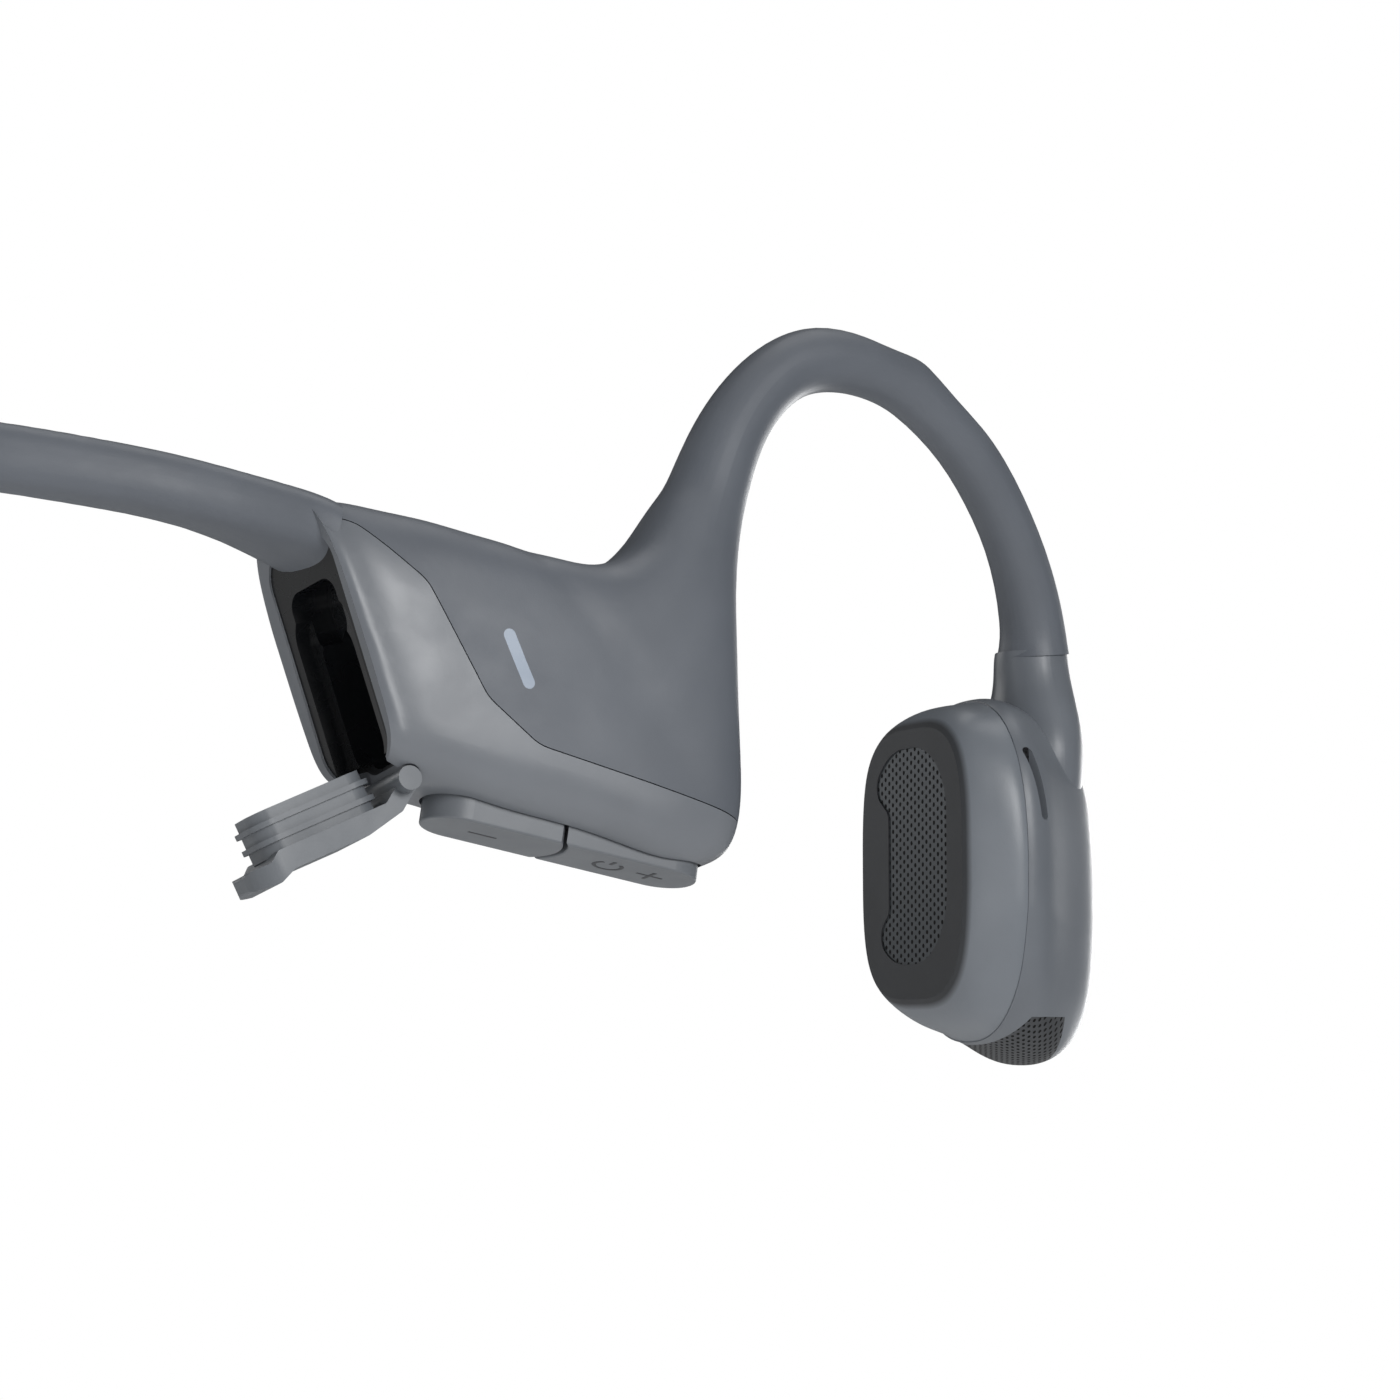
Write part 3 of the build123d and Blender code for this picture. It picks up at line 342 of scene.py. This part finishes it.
# Each moulded material: name, colour, roughness, size of the grain and its depth.
soft_touch = moulded("soft_touch", SLATE, 0.50, 0.10 * MM, 0.005 * MM)
hard_cover = moulded("hard_cover", COVER_GREY, 0.36, 0.20 * MM, 0.002 * MM)
flap_silicone = moulded("flap_silicone", FLAP_GREY, 0.45, 0.15 * MM, 0.004 * MM)
button_silicone = moulded("button_silicone", BUTTON_GREY, 0.42, 0.15 * MM, 0.003 * MM)
shell_plastic = moulded("shell_plastic", SHELL_GREY, 0.40, 0.18 * MM, 0.003 * MM)
face_black = moulded("face_black", FACE_BLACK, 0.28, 0.25 * MM, 0.002 * MM)
socket_black = moulded("socket_black", SOCKET_BLACK, 0.50, 0.20 * MM, 0.002 * MM)
light_milk = moulded("light_milk", LIGHT_PIPE, 0.25, 0.30 * MM, 0.001 * MM, Coat_Weight=0.4)
switch_black = moulded("switch_black", SWITCH_GREY, 0.50, 0.20 * MM, 0.003 * MM)
board_green = moulded("board_green", BOARD_GREEN, 0.35, 0.30 * MM, 0.003 * MM)
# Painted shade: dark colour on the raised signs stands in for the shading that shows them.
painted_mark_shade = moulded("painted_mark_shade", MARK_SHADE_GREY, 0.50, 0.20 * MM, 0.002 * MM)

# Each metal: name, colour and roughness.
pouch_foil = metal("pouch_foil", FOIL, 0.38)
bright_steel = metal("bright_steel", STEEL, 0.28)
copper_wire = metal("copper_wire", COPPER, 0.35)

dress(soft_touch, "headband_sleeve", *both("arm_housing"))
dress(hard_cover, "control_cover_right", "battery_cover_left")
dress(flap_silicone, "port_flap")
dress(button_silicone, "volume_down_button", "volume_up_button")
dress(shell_plastic, *both("pod_shell"), "multifunction_button_left")
dress(face_black, "port_bezel")
dress(socket_black, "usb_c_tongue", "microphone_right")
dress(light_milk, "status_light")
dress(switch_black, "volume_down_switch", "volume_up_switch", "multifunction_switch_left")
dress(board_green, "main_board", "switch_board", "battery_board_left")
dress(pouch_foil, "battery_cell_left")
dress(bright_steel, "usb_c_shell", "headband_wire", *both("hook_wire"), *both("air_driver"))
dress(bright_steel, *both("driver_yoke"), *both("driver_magnet"), *both("driver_spring"))
dress(copper_wire, *both("driver_coil"))

for side in SIDES:
    centre, across, up, outward = pod_frame(side)
    through = up.cross(across)
    dress(soft_pad(f"pad_{side}", centre, outward), f"pod_cover_{side}")
    dress(perforated(f"grille_{side}", GRILLE_GREY, across, up, GRILLE_PITCH), f"pad_grille_{side}")
    dress(perforated(f"outlet_{side}", MESH_GREY, across, through, OUTLET_PITCH), f"outlet_mesh_{side}")
dress(perforated("vent_screen", VENT_GREY, POD_AXIS, pod_across, VENT_PITCH), "vent_mesh_right")


# ---------------------------------------------------------------- signs on the buttons

def line_mesh(name, paths):
    """Round lines along paths of points in millimetres, in the XY plane."""
    curve = bpy.data.curves.new(name, "CURVE")
    curve.dimensions = "3D"
    curve.bevel_depth = MARK_WIDTH / 2
    curve.bevel_resolution = 2
    curve.use_fill_caps = True
    for path in paths:
        spline = curve.splines.new("POLY")
        spline.points.add(len(path) - 1)
        for point, (x, y) in zip(spline.points, path):
            point.co = (x * MM, y * MM, 0, 1)
    drawing = bpy.data.objects.new(name, curve)
    bpy.context.collection.objects.link(drawing)
    depsgraph = bpy.context.evaluated_depsgraph_get()
    mesh = bpy.data.meshes.new_from_object(drawing.evaluated_get(depsgraph))
    bpy.data.objects.remove(drawing)
    for polygon in mesh.polygons:
        polygon.use_smooth = True
    return mesh


def button_mark(name, forward, paths):
    """Flattened lines lying on a button, some millimetres forward of the pivot."""
    mesh = line_mesh(name, paths)
    normal = button_forward.cross(box_outward)
    turn = Matrix((button_forward, box_outward, normal)).transposed().to_4x4()
    flat = Matrix.Diagonal((1, 1, MARK_THICKNESS / MARK_WIDTH, 1))
    place = button_pivot + button_forward * forward * MM
    mesh.transform(Matrix.Translation(place) @ turn @ flat)
    # The signs are raised; their dark colour is painted shade.
    mesh.materials.append(painted_mark_shade.material)
    mark = bpy.data.objects.new(name, mesh)
    bpy.context.collection.objects.link(mark)
    return mark


def arc(radius, start, end):
    """Points of an arc about the middle of a sign, angles in degrees."""
    angles = [radians(start + (end - start) * step / ARC_STEPS) for step in range(ARC_STEPS + 1)]
    return [(radius * cos(angle), radius * sin(angle)) for angle in angles]


# Name, body of the button, millimetres forward of the pivot, and lines in millimetres.
MARKS = [
    ("mark_minus", "volume_down", -5.6, [[(-1.0, 0), (1.0, 0)]]),
    ("mark_power", "volume_up", 3.6, [arc(0.95, -230, 50), [(0, 0.45), (0, 1.25)]]),
    ("mark_plus", "volume_up", 6.7, [[(-0.95, 0), (0.95, 0)], [(0, -0.95), (0, 0.95)]]),
]
for name, body, forward, paths in MARKS:
    mark = button_mark(name, forward, paths)
    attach(mark, body)


# ---------------------------------------------------------------- floor, light and camera

def floor():
    """Pale paper far below the headphones, with a faint glow."""
    mesh = bpy.data.meshes.new("floor")
    builder = bmesh.new()
    bmesh.ops.create_grid(
        builder, x_segments=FLOOR_SQUARES, y_segments=FLOOR_SQUARES, size=FLOOR_SIZE / 2
    )
    builder.to_mesh(mesh)
    builder.free()
    sheet = bpy.data.objects.new("floor", mesh)
    sheet.location = (0, 0, FLOOR_HEIGHT)
    bpy.context.collection.objects.link(sheet)
    paper = Shader("paper", 0.90, Emission_Color=(*WHITE, 1), Emission_Strength=PAPER_GLOW)
    paper.paint(paper.shades(PAPER, spread=0.01, size=30 * MM))
    mesh.materials.append(paper.material)


def world():
    """Even light from all round, in front of a white backdrop."""
    studio = bpy.data.worlds.new("studio")
    studio.use_nodes = True
    tree = studio.node_tree
    background = tree.nodes["Background"]
    background.inputs["Color"].default_value = (*WHITE, 1)
    ray = tree.nodes.new("ShaderNodeLightPath")
    strength = tree.nodes.new("ShaderNodeMapRange")
    strength.inputs["To Min"].default_value = WORLD_LIGHT
    strength.inputs["To Max"].default_value = WORLD_BACKDROP
    tree.links.new(ray.outputs["Is Camera Ray"], strength.inputs["Value"])
    tree.links.new(strength.outputs["Result"], background.inputs["Strength"])
    bpy.context.scene.world = studio


def overhead_light():
    """Wide soft light straight down, even over the floor."""
    lamp = bpy.data.lights.new("overhead_light", "SUN")
    lamp.energy = OVERHEAD_STRENGTH
    lamp.angle = OVERHEAD_SPREAD
    bpy.context.collection.objects.link(bpy.data.objects.new("overhead_light", lamp))


def softbox(name, offset, size, power):
    """Square area light that shines back at the lit place from an offset."""
    lamp = bpy.data.lights.new(name, "AREA")
    lamp.shape = "SQUARE"
    lamp.size = size
    lamp.energy = power
    holder = bpy.data.objects.new(name, lamp)
    turn = (-offset).to_track_quat("-Z", "Y").to_matrix().to_4x4()
    holder.matrix_world = Matrix.Translation(LIT_PLACE + offset) @ turn
    bpy.context.collection.objects.link(holder)


def camera():
    """Camera looking up at the right box from behind and outside."""
    lens = bpy.data.cameras.new("camera")
    lens.lens = LENS_MILLIMETRES
    lens.sensor_width = SENSOR_MILLIMETRES
    lens.clip_start = NEAREST_SEEN
    holder = bpy.data.objects.new("camera", lens)
    view_up = VIEW_ACROSS.cross(VIEW_TOWARD).normalized()
    turn = Matrix((VIEW_ACROSS, view_up, -VIEW_TOWARD)).transposed().to_4x4()
    holder.matrix_world = Matrix.Translation(CAMERA_PLACE) @ turn
    bpy.context.collection.objects.link(holder)
    bpy.context.scene.camera = holder


floor()
world()
overhead_light()
for name, offset, size, power in SOFTBOXES:
    softbox(name, offset, size, power)
camera()
bpy.context.scene.view_settings.view_transform = "Standard"
